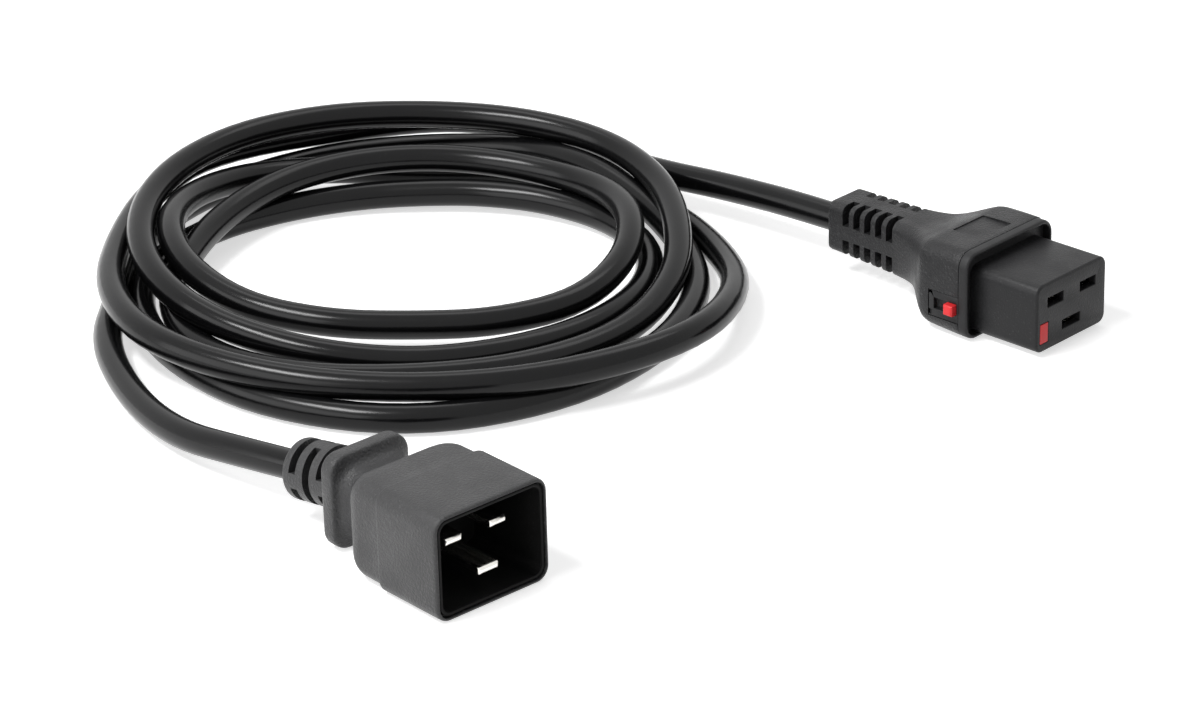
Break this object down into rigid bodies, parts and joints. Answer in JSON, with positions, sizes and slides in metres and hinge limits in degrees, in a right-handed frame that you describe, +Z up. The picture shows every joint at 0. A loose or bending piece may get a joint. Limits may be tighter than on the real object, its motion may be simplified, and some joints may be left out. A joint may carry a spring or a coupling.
{
  "type": "c19 power connector",
  "caption": "Locking C19 power connector with a red release button and a slotted boot, on a black cord coiled on the floor that ends in a C20 plug.",
  "frame": {"origin": "the floor under the middle of the collar's front ring, on the connector's middle plane", "axes": "+X along the connector's nose, out of its slotted face; +Z up from the floor; the cord leaves toward -X and its coil and plug lie toward -Y"},
  "size_m": [0.2529, 0.2288, 0.0261],
  "materials": {
    "hard_plastic": "satin",
    "soft_plastic": "fine matte grain",
    "cord_jacket": "semi-gloss",
    "red_plastic": "satin",
    "contact_metal": "bright nickel plate",
    "spring_steel": "bright",
    "core_brown": "satin",
    "core_blue": "satin",
    "core_green": "satin"
  },
  "bodies": {
    "connector": {"nose_housing": "hard_plastic", "collar_carrier": "hard_plastic", "connector_overmould": "soft_plastic", "button_guide": "hard_plastic", "contact_retainer": "hard_plastic", "lock_clip": "spring_steel", "contact_line": "contact_metal", "contact_neutral": "contact_metal", "contact_earth": "contact_metal", "core_line": "core_brown", "core_neutral": "core_blue", "core_earth": "core_green", "plug_overmould": "soft_plastic", "plug_insert": "hard_plastic", "plug_pin_line": "contact_metal", "plug_pin_neutral": "contact_metal", "plug_pin_earth": "contact_metal", "plug_core_line": "core_brown", "plug_core_neutral": "core_blue", "plug_core_earth": "core_green", "cord_lead": "cord_jacket", "cord_coil": "cord_jacket", "cord_tail": "cord_jacket"},
    "slider": {"release_slider": "red_plastic", "slider_spring": "spring_steel"}
  },
  "joints": [
    {"name": "release_slide", "type": "slide", "parent": "connector", "child": "slider", "axis": [-1, 0, 0], "range_m": [0, 0.0043], "stiffness_N_per_m": 800, "springref_m": -0.003}
  ]
}
